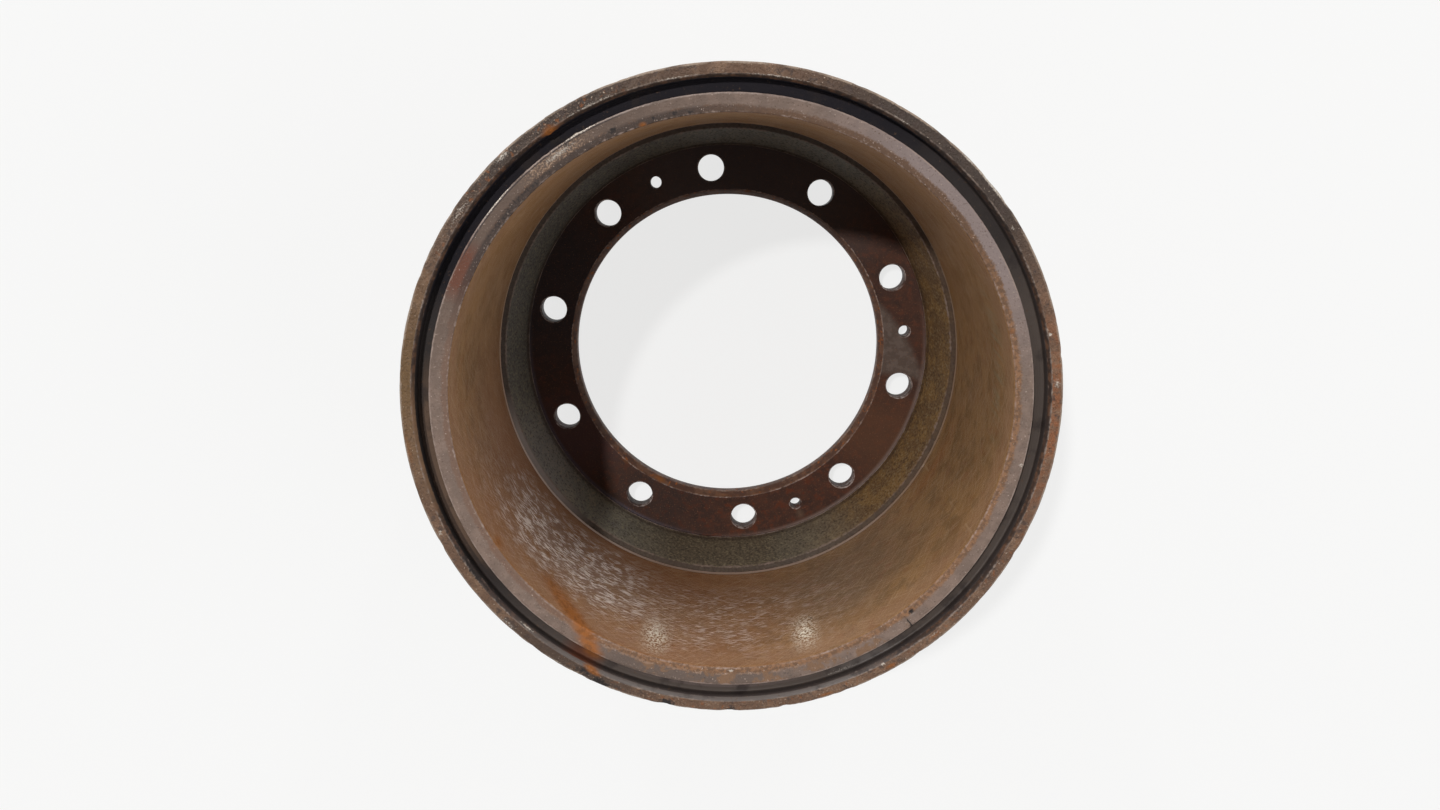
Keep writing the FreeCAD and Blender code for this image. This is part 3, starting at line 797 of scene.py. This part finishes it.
skin.cover(skin.both(rough_part, skin.eased(grit["Speck"], 0.56, 0.72)), (126, 106, 90), 0.45)
skin.cover(skin.eased(grit["Speck"], 0.42, 0.32), (58, 45, 38), share=0.5)
skin.cover(skin.eased(grit["Speck"], 0.68, 0.74), (168, 152, 134), 0.5)
pits = skin.clouds(0.003, 0.5, 0.62)
height = skin.calc("MULTIPLY_ADD", pits, 0.8, grit["Height"])
skin.finish(height, 0.0004, (138, 120, 104))

# The shield groove is turned and grimy, gray-brown below. Nearly black round the top and dark at the left
# is painted shade, as is a dark strip on the outer floor at the upper left. The bevel that leads into it is
# satin at the bottom.
skin = Skin("groove", (58, 50, 47), 0.6, 0.25)
floor_share = skin.eased(skin.found["Height"], 0.2688, 0.2668)
bevel_share = skin.eased(skin.found["Height"], 0.2747, 0.2755)
skin.cover(floor_share, (78, 68, 62), 0.5)
skin.cover(skin.both(floor_share, skin.zone(152.0, 10.0, 14.0)), (100, 93, 90), 0.4)
inner_floor = skin.eased(skin.found["Radius"], 0.225, 0.2238)
skin.cover(skin.both(floor_share, inner_floor, skin.zone(182.0, 24.0, 20.0)), (92, 80, 76), 0.4)
# Painted shade: the groove is painted nearly black round the top and dark at the left
skin.cover(skin.zone(344.0, 66.0, 15.0), (13, 12, 23), 0.85, 0.9)
skin.cover(skin.zone(256.0, 44.0, 24.0), (26, 22, 22), 0.65, 0.85)
# Painted shade: a dark strip on the outer floor at the upper left
outer_floor = skin.eased(skin.found["Radius"], 0.2238, 0.225)
skin.cover(skin.both(outer_floor, skin.zone(322.0, 18.0, 10.0)), (33, 29, 35), 0.7)
grimy_right = skin.both(floor_share, skin.zone(50.0, 22.0, 14.0))
skin.cover(grimy_right, (40, 34, 33), 0.65, 0.8)
rusty_left = skin.both(floor_share, skin.zone(256.0, 24.0, 12.0))
skin.cover(rusty_left, (72, 52, 38), 0.6, 0.6)
skin.cover(skin.both(rusty_left, inner_floor), (98, 77, 62), 0.6)
run_stain = skin.zone(210.0, 5.0, 3.5)
skin.cover(run_stain, (84, 43, 23), 0.7, 0.8)
rusty_bevel = skin.mixed(skin.clouds(0.006), (52, 38, 30), (84, 58, 42))
skin.cover(bevel_share, rusty_bevel, 0.6)
skin.cover(skin.both(bevel_share, skin.zone(186.0, 44.0, 16.0)), (88, 80, 76), 0.38)
for middle, half, strength, tone in ((262.0, 15.0, 0.6, (122, 94, 70)), (234.0, 13.0, 0.6, (52, 46, 45)),
                                     (44.0, 34.0, 0.65, (36, 30, 27))):
    stretch = skin.both(bevel_share, skin.zone(middle, half, half * 0.6))
    skin.cover(stretch, tone, share=strength)
skin.cover(skin.clouds(0.0035, 0.6, 0.7), (84, 64, 50), 0.8, 0.6)
skin.cover(skin.clouds(0.02, 0.5, 0.68), (44, 36, 34), share=0.7)
rings = skin.effect(turning, Pitch=0.0008)["Height"]
grit = skin.effect(sand, Size=0.0012)["Height"]
height = skin.calc("MULTIPLY_ADD", grit, 0.7, rings)
skin.finish(height, 0.00016, (120, 106, 98))

# The land round the bore is turned: a satin gray outer ring, and a brown inner one where the rust has crept
# in from the bore to a ragged border. A pale painted highlight runs along the border at the bottom.
LAND_BORDER = 0.2098
skin = Skin("land", (106, 89, 79), 0.5, 0.4)
skin.cover(skin.clouds(0.012, 0.4, 0.62), (119, 100, 89), 0.47)
skin.cover(skin.zone(190.0, 32.0, 20.0), (88, 74, 66), share=0.9)
skin.cover(skin.both(skin.zone(175.0, 40.0, 14.0), skin.clouds(0.01, 0.5, 0.6)), (112, 84, 62), 0.6)
skin.cover(skin.zone(316.0, 42.0, 20.0), (84, 68, 58), share=0.75)
mauve = skin.zone(50.0, 36.0, 22.0)
skin.cover(mauve, (128, 114, 111), 0.48, 0.8)
from_border = skin.calc("SUBTRACT", skin.found["Radius"], LAND_BORDER)
for size, sway in ((0.016, 0.006), (0.0016, 0.0042)):
    cloud = skin.effect(mottle, Size=size)["Height"]
    from_border = skin.calc("MULTIPLY_ADD", skin.calc("SUBTRACT", cloud, 0.5), sway, from_border)
inner = skin.eased(from_border, 0.0012, -0.0012)
brown = skin.mixed(skin.clouds(0.003, 0.42, 0.58), (100, 73, 52), (128, 92, 64))
even = skin.zone(262.0, 62.0, 26.0)
even = skin.calc("MAXIMUM", even, skin.calc("MULTIPLY", skin.zone(18.0, 40.0, 24.0), 0.6))
brown = skin.mixed(even, brown, (106, 82, 68))
skin.cover(inner, brown, 0.65)
browner = skin.both(inner, skin.zone(30.0, 46.0, 26.0))
skin.cover(browner, (78, 55, 38), 0.65, 0.7)
# Painted highlight: a pale line along the border at the bottom
border = skin.both(skin.eased(from_border, -0.001, 0.0), skin.eased(from_border, 0.0012, 0.0003))
border = skin.both(border, skin.clouds(0.009, 0.42, 0.6), skin.zone(186.0, 40.0, 20.0))
skin.cover(border, (144, 118, 100), 0.5, 0.6)
rust_patch = skin.both(skin.zone(297.0, 7.0, 4.0), skin.clouds(0.014, 0.25, 0.5))
skin.cover(rust_patch, (96, 52, 34), 0.7, 0.85)
dull = skin.calc("MULTIPLY", skin.zone(325.0, 44.0, 18.0, "Radius", 0.2072, 0.0042, 0.0022), 0.92)
skin.cover(skin.both(dull, skin.clouds(0.006, 0.12, 0.36)), (54, 43, 38), 0.6)
scuffed = skin.both(skin.zone(325.0, 9.0, 5.0), skin.eased(skin.found["Radius"], 0.2088, 0.2108))
grit = skin.effect(sand, Size=0.0013)
skin.cover(skin.both(scuffed, skin.eased(grit["Speck"], 0.45, 0.66)), (150, 124, 102), 0.4, metallic=0.1)
scuff_pits = skin.both(scuffed, skin.eased(grit["Speck"], 0.46, 0.34))
skin.cover(scuff_pits, (74, 58, 50), share=0.6)
burr_shade = skin.zone(319.0, 22.0, 4.0, "Radius", 0.21705, 0.0007, 0.0004)
skin.cover(burr_shade, (44, 34, 34), 0.6, 0.8)
skin.cover(skin.eased(grit["Speck"], 0.4, 0.3), (88, 70, 60))
skin.cover(skin.eased(grit["Speck"], 0.64, 0.74), (160, 142, 130))
skin.finish(grit["Height"], 0.00018, (140, 122, 112))

# The friction bore is turned, and worn smooth by the shoes down to the end of their track. A tan film of
# rust lies over it, with crossed scratches, and strokes and spots where the film is rubbed thin; the two
# spots low on the near wall also carry a painted highlight. The shaded top of the bore, its deep end at the
# top and left, and the pale band at the top of the track's end are painted lighter, as painted light.
TRACK_END = 0.0762
skin = Skin("friction", (120, 83, 40), 0.5, 0.2, metallic=0.05, Anisotropic=0.95, Anisotropic_Rotation=0.25)
level = skin.found["Height"]
skin.cover(skin.clouds(0.05, 0.4, 0.62), (131, 94, 48))
skin.cover(skin.clouds(0.02, 0.46, 0.62), (108, 76, 35), 0.55)
ochre = skin.calc("MAXIMUM", skin.zone(117.0, 18.0, 18.0, "Height", 0.105, 0.02, 0.03),
                  skin.zone(247.0, 14.0, 14.0, "Height", 0.105, 0.02, 0.03))
skin.cover(ochre, (136, 78, 30), 0.6, 0.75)
# Painted light: the top of the bore, which lies in shade, is painted lighter and more orange
painted_light_top = skin.zone(2.0, 96.0, 44.0)
skin.cover(painted_light_top, (156, 108, 50), share=0.55)
# Painted light: the deep end of the bore is painted lighter at the top and at the left, where little light
# reaches
painted_light_deep_top = skin.both(skin.zone(353.0, 28.0, 16.0), skin.eased(level, 0.125, 0.09))
skin.cover(painted_light_deep_top, (180, 136, 92), share=0.55)
painted_light_deep_left = skin.zone(238.0, 50.0, 30.0, "Height", 0.11, 0.075, 0.05)
skin.cover(painted_light_deep_left, (152, 104, 64), share=0.5)
warm_left = skin.zone(215.0, 62.0, 34.0)
skin.cover(warm_left, (132, 82, 48), share=0.6)
near_mouth = skin.both(skin.eased(level, 0.232, 0.262), skin.eased(level, 0.274, 0.268))
skin.cover(near_mouth, (140, 104, 78), share=0.45)
shaded_low = skin.zone(150.0, 22.0, 16.0, "Height", 0.15, 0.09, 0.045)
skin.cover(shaded_low, (86, 58, 28), share=0.6)
greenish = skin.both(skin.zone(84.0, 26.0, 18.0, "Height", 0.226, 0.026, 0.024),
                     skin.effect(rubbed, Slope=0.7, Width=0.0035, Low=0.44, High=0.62)["Mask"])
skin.cover(greenish, (114, 98, 64), 0.45, 0.7)
silver = skin.zone(208.0, 34.0, 26.0, "Height", 0.19, 0.065, 0.05)
reddish = skin.clouds(0.011, 0.52, 0.68)
skin.cover(reddish, (118, 70, 40), 0.6, 0.35)
film = skin.effect(rubbed, Slope=-3.0, Width=0.004, Low=0.35, High=0.6)["Mask"]
skin.cover(skin.both(silver, film), (136, 108, 84), 0.45, 0.35, metallic=0.2)
for slope, width, low_mark, strength in ((4.0, 0.001, 0.58, 0.75), (-6.5, 0.0009, 0.58, 0.75),
                                         (13.0, 0.001, 0.59, 0.7), (-17.0, 0.0011, 0.59, 0.7)):
    mark = skin.effect(rubbed, Slope=slope, Width=width, Low=low_mark, High=low_mark + 0.07)["Mask"]
    where = skin.calc("ADD", skin.calc("MULTIPLY", silver, strength * 0.8), strength * 0.42)
    skin.cover(skin.calc("MULTIPLY", mark, where), (172, 146, 118), 0.42, metallic=0.15)
swept = skin.calc("MAXIMUM", skin.zone(222.0, 27.0, 16.0, "Height", 0.163, 0.082, 0.05),
                  skin.calc("MULTIPLY", skin.zone(205.0, 62.0, 34.0, "Height", 0.185, 0.085, 0.05), 0.22))
mauve = skin.both(swept, skin.clouds(0.016, 0.34, 0.56))
skin.cover(mauve, (138, 110, 96), 0.5, 0.62)
patchy = skin.clouds(0.011, 0.38, 0.56)
for lean, low_mark in ((-0.12, 0.56), (0.38, 0.57), (-0.75, 0.58)):
    stroke = skin.effect(brushed, Lean=lean, Width=0.0026, Length=0.013, Low=low_mark,
                         High=low_mark + 0.06)["Mask"]
    skin.cover(skin.both(stroke, swept, patchy), (222, 208, 198), 0.42, metallic=0.2)
# Two spots on the near wall are bare metal, rubbed thin, and painted pale as a highlight where the lamps
# glance off
for middle, level_middle in ((196.8, 0.234), (163.0, 0.228)):
    rubbed_and_glint = skin.zone(middle, 4.0, 3.4, "Height", level_middle, 0.04, 0.036)
    fine = skin.effect(sand, Size=0.0017)["Speck"]
    broken = skin.both(rubbed_and_glint, skin.eased(fine, 0.46, 0.56))
    skin.cover(broken, (206, 196, 178), 0.45, metallic=0.7)
for middle, half, strength in ((118.8, 0.4, 0.45), (310.5, 0.9, 0.35), (64.0, 0.5, 0.2), (147.0, 0.4, 0.15)):
    line = skin.both(skin.zone(middle, half, half), skin.clouds(0.015, 0.46, 0.6))
    skin.cover(line, (170, 142, 108), 0.45, strength)
pale_patch = skin.zone(312.5, 2.0, 3.0, "Height", 0.256, 0.01, 0.01)
skin.cover(pale_patch, (128, 120, 118), 0.45, 0.5)
lit_dot = skin.zone(119.2, 0.6, 0.4, "Height", 0.0745, 0.0022, 0.0014)
skin.cover(lit_dot, (206, 190, 168), 0.4)
pale_band = skin.both(skin.eased(level, TRACK_END, TRACK_END - 0.0012),
                      skin.calc("MAXIMUM", 0.65, skin.zone(205.0, 95.0, 30.0)))
skin.cover(pale_band, (150, 128, 114), 0.45, 0.9)
bright_band = skin.both(pale_band, skin.zone(232.0, 34.0, 20.0))
skin.cover(bright_band, (190, 172, 160), 0.4, metallic=0.2)
# Painted light: the pale band is painted lighter still at the top, where it lies in shade
painted_light_upper_band = skin.both(pale_band, skin.zone(335.0, 85.0, 25.0))
skin.cover(painted_light_upper_band, (184, 152, 126), 0.45)
dark_line = skin.both(skin.eased(level, TRACK_END + 0.0016, TRACK_END + 0.0004),
                      skin.eased(level, TRACK_END - 0.0008, TRACK_END))
skin.cover(dark_line, (78, 56, 38), 0.6, 0.6)
grit = skin.effect(sand, Size=0.0012)
skin.cover(skin.eased(grit["Speck"], 0.58, 0.7), (158, 128, 92), share=0.5)
skin.cover(skin.eased(grit["Speck"], 0.42, 0.3), (92, 62, 38), share=0.5)
rings = skin.effect(turning, Pitch=0.0008)["Height"]
cross = [skin.effect(rubbed, Slope=slope, Width=0.0008, Low=0.4, High=0.62)["Mask"] for slope in (5.5, -8.0)]
height = skin.calc("ADD", skin.calc("MULTIPLY_ADD", rings, 0.5, grit["Height"]),
                   skin.calc("MULTIPLY", skin.calc("ADD", *cross), -0.5))
skin.finish(height, 0.00007, (150, 122, 98))

# The cone and the shoulder inside are cast and coarse: gray-green, and ochre at the
# lower right.
skin = Skin("cone", (104, 100, 90), 0.7, 0.25)
skin.cover(skin.clouds(0.02, 0.42, 0.62), (118, 112, 98))
tinted = skin.calc("MULTIPLY", skin.zone(100.0, 66.0, 28.0), 0.9)
skin.cover(tinted, skin.mixed(skin.clouds(0.016), (98, 70, 38), (118, 86, 44)))
skin.cover(skin.zone(182.0, 32.0, 20.0), (82, 68, 50), share=0.8)
skin.cover(skin.zone(300.0, 64.0, 34.0), (80, 79, 76), share=0.7)
skin.cover(skin.zone(12.0, 34.0, 20.0), (120, 122, 120), share=0.55)
skin.cover(skin.zone(240.0, 18.0, 14.0), (128, 124, 122), share=0.55)
grit = skin.effect(sand, Size=0.0022)
skin.cover(skin.eased(grit["Speck"], 0.52, 0.7), (140, 126, 98), 0.6, 0.45)
skin.cover(skin.eased(grit["Speck"], 0.49, 0.33), (52, 44, 35), 0.8, 0.62)
# Painted shade: the shoulder at the end of the bore is painted as a dark ring
shoulder = skin.eased(skin.found["Height"], 0.0672, 0.0682)
skin.cover(shoulder, (64, 50, 42), 0.6, 0.8)
# Painted light: the shoulder is painted pale at the lower left
painted_light_edge = skin.both(shoulder, skin.zone(240.0, 22.0, 12.0))
skin.cover(painted_light_edge, (150, 140, 134), 0.45, 0.8)
root = skin.eased(skin.found["Height"], 0.026, 0.0215)
skin.cover(root, (48, 33, 24), 0.7, 0.6)
height = skin.calc("MULTIPLY_ADD", skin.clouds(0.007, 0.35, 0.65), 0.5, grit["Height"])
skin.finish(height, 0.0004, (122, 104, 94))

# The turned flange is dark with red-brown rust. It has faint rings from the tool, a painted gray sheen in
# one place that stands for the room's reflection, and a paler rim at the edge of the turned face. The top,
# in the key light's shadow, is painted paler, and patches paint shade and light along the edge of that
# shadow.
skin = Skin("flange", (60, 36, 26), 0.55, 0.25)
skin.cover(skin.clouds(0.016, 0.42, 0.62), (70, 41, 28), 0.62)
skin.cover(skin.clouds(0.006, 0.52, 0.64), (80, 45, 30), 0.7)
skin.cover(skin.both(skin.clouds(0.008, 0.54, 0.66), skin.zone(180.0, 50.0, 20.0)), (84, 42, 24), 0.75)
skin.cover(skin.clouds(0.011, 0.56, 0.7), (38, 25, 20), 0.5, 0.45)
# Painted light: the top of the flange, in the key light's shadow, is painted a paler gray
skin.cover(skin.zone(8.0, 52.0, 26.0), (74, 62, 58), 0.5, 0.85)
# Painted shade: the left of the flange is painted darker
skin.cover(skin.zone(290.0, 40.0, 26.0), (36, 31, 34), 0.5, 0.75)
# Patches at 205 and 240 paint shade and light along the edge of the rim's shadow, and the one at 5 lightens
# the shaded top; the one at 120 is a warmer brown
for middle, half, strength, tone in ((205.0, 26.0, 0.5, (38, 28, 25)), (240.0, 18.0, 0.8, (70, 47, 46)),
                                     (120.0, 18.0, 0.6, (88, 56, 36)), (5.0, 34.0, 0.4, (66, 56, 58))):
    patch = skin.zone(middle, half, half * 0.7)
    skin.cover(patch, tone, share=strength)
# Painted reflection: a gray sheen where the flange mirrors the bright room through the mouth
across_sheen = skin.calc("MULTIPLY", skin.calc("SUBTRACT", skin.found["Radius"], 0.15), 640.0)
sheen_start = skin.calc("ADD", across_sheen, 72.0)
sheen_mask = skin.both(skin.eased(skin.calc("SUBTRACT", skin.found["Angle"], sheen_start), 0.0, 6.0),
                      skin.eased(skin.found["Angle"], 101.0, 98.0))
sheen_tone = skin.mixed(skin.clouds(0.007), (84, 71, 63), (98, 85, 77))
skin.cover(sheen_mask, sheen_tone, 0.5, 0.85)
drip = skin.zone(156.6, 1.6, 1.8, "Radius", 0.179, 0.006, 0.004)
skin.cover(drip, (104, 84, 66), 0.5, 0.5)
rim_film = skin.eased(skin.found["Radius"], 0.1835, 0.1868)
skin.cover(skin.both(rim_film, skin.zone(130.0, 56.0, 30.0)), (106, 88, 80), 0.45, 0.75)
cold_rim = skin.both(rim_film, skin.zone(234.0, 48.0, 22.0))
skin.cover(cold_rim, (70, 66, 74), 0.42, 0.6)
grit = skin.effect(sand, Size=0.0013)
skin.cover(skin.eased(grit["Speck"], 0.6, 0.72), (120, 82, 56), share=0.6)
rings = skin.effect(turning, Pitch=0.001)["Height"]
height = skin.calc("MULTIPLY_ADD", rings, 0.7, grit["Height"])
# The flange's worn edges are painted pale, partly as wear and partly as a painted highlight along its rims
skin.finish(height, 0.00014, (164, 150, 144))

# The centre bore and its bevel are turned to fit the hub's spigot. They are brown, with orange spots of
# fresh rust.
skin = Skin("pilot", (76, 49, 36), 0.55, 0.35)
skin.cover(skin.clouds(0.009), (96, 66, 48), 0.5)
skin.cover(skin.clouds(0.004, 0.58, 0.66), (136, 78, 38), 0.8)
skin.cover(skin.clouds(0.005, 0.6, 0.7), (58, 42, 34), 0.6)
rings = skin.effect(turning, Pitch=0.0007)["Height"]
skin.finish(rings, 0.00012, (138, 112, 96))

# Under the drum a plain pale floor. It shows as white to the camera and in mirrors, and keeps the drum's
# soft shadow.
FLOOR_SIZE = 60.0
FLOOR_DROP = 0.0002
FLOOR_WHITE = [0.96, 0.96, 0.955, 1.0]
FLOOR_GRAY = [0.7, 0.7, 0.695, 1.0]
FLOOR_GLOW = 0.8
bpy.ops.mesh.primitive_plane_add(size=FLOOR_SIZE, location=(0, 0, -FLOOR_DROP))
floor = bpy.context.active_object
floor.name = "studio_floor"
floor_material = bpy.data.materials.new("studio_floor")
floor_material.use_nodes = True
ground = Nodes(floor_material.node_tree)
floor_shader = ground.tree.nodes["Principled BSDF"]
floor_shader.inputs["Base Color"].default_value = FLOOR_GRAY
floor_shader.inputs["Roughness"].default_value = 0.9
floor_shader.inputs["Specular IOR Level"].default_value = 0.0
rays = ground.add("LightPath")
seen = ground.calc("ADD", rays["Is Camera Ray"], rays["Is Glossy Ray"], clamp=True)
seen = ground.calc("ADD", seen, rays["Is Transmission Ray"], clamp=True)
glow = ground.add("Emission", {"Color": FLOOR_WHITE, "Strength": 1.0})[0]
blend = ground.add("MixShader", {0: ground.calc("MULTIPLY", seen, FLOOR_GLOW), 1: floor_shader.outputs[0],
                                 2: glow})[0]
ground.tree.links.new(blend, ground.tree.nodes["Material Output"].inputs["Surface"])
floor.data.materials.append(floor_material)

# The room: bright near the horizon and dim overhead, so that the flange deep in the drum stays dark as in
# the photo. The camera sees plain white behind the drum.
HORIZON_LIGHT = 1.12
ZENITH_LIGHT = 0.2
DIMMING_RISE = (0.15, 0.75)
BACKGROUND_WHITE = [0.93, 0.93, 0.927, 1.0]
world = bpy.data.worlds.new("studio")
bpy.context.scene.world = world
world.use_nodes = True
room = Nodes(world.node_tree)
rise = room.add("SeparateXYZ", {0: room.add("TexCoord")["Generated"]})["Z"]
level = room.eased(rise, *DIMMING_RISE, HORIZON_LIGHT, ZENITH_LIGHT)
light = room.add("CombineColor", {0: level, 1: level, 2: level})[0]
shown = room.mixed(room.add("LightPath")["Is Camera Ray"], light, BACKGROUND_WHITE)
room.tree.links.new(shown, room.tree.nodes["Background"].inputs["Color"])

# The key light stands over the mouth at the upper left, so that the rim's shadow falls across the flange.
KEY_DIRECTION = (-0.310, 0.344, 0.886)
KEY_STRENGTH = 2.1
KEY_ANGLE = math.radians(3)


def add_light(name, kind, strength, direction):
    """A light that shines towards the drum from a direction."""
    settings = bpy.data.lights.new(name, kind)
    settings.energy = strength
    light_object = bpy.data.objects.new(name, settings)
    light_object.rotation_euler = Vector(direction).to_track_quat("Z", "Y").to_euler()
    bpy.context.scene.collection.objects.link(light_object)
    return light_object


key = add_light("key", "SUN", KEY_STRENGTH, KEY_DIRECTION)
key.data.angle = KEY_ANGLE

# Two lamps on the far side of the drum glance along the near friction wall, and give its streaks. Each has
# a turn clockwise from +Y and a rise above the level, in degrees.
LAMP_PLACES = (("lamp_left", -21.5, 13.0), ("lamp_right", 22.0, 13.0))
LAMP_WATTS = 34.0
LAMP_DISTANCE = 4.0
LAMP_SIZE = (0.35, 1.0)
LAMP_AIM = Vector((0, 0, 0.2))
for name, *degrees in LAMP_PLACES:
    lamp_turn, lamp_rise = (math.radians(number) for number in degrees)
    away = Vector((math.sin(lamp_turn) * math.cos(lamp_rise), math.cos(lamp_turn) * math.cos(lamp_rise),
                   math.sin(lamp_rise)))
    lamp = add_light(name, "AREA", LAMP_WATTS, away)
    lamp.data.shape = "RECTANGLE"
    lamp.data.size, lamp.data.size_y = LAMP_SIZE
    lamp.location = away * LAMP_DISTANCE + LAMP_AIM

# A wide soft fill from the right lights the left wall of the bore, which the key light leaves in the shade
FILL_DIRECTION = (0.84, -0.12, 0.53)
FILL_STRENGTH = 0.75
FILL_ANGLE = math.radians(50)
fill = add_light("fill", "SUN", FILL_STRENGTH, FILL_DIRECTION)
fill.data.angle = FILL_ANGLE

# The scene is brought up to date.
bpy.context.view_layer.update()
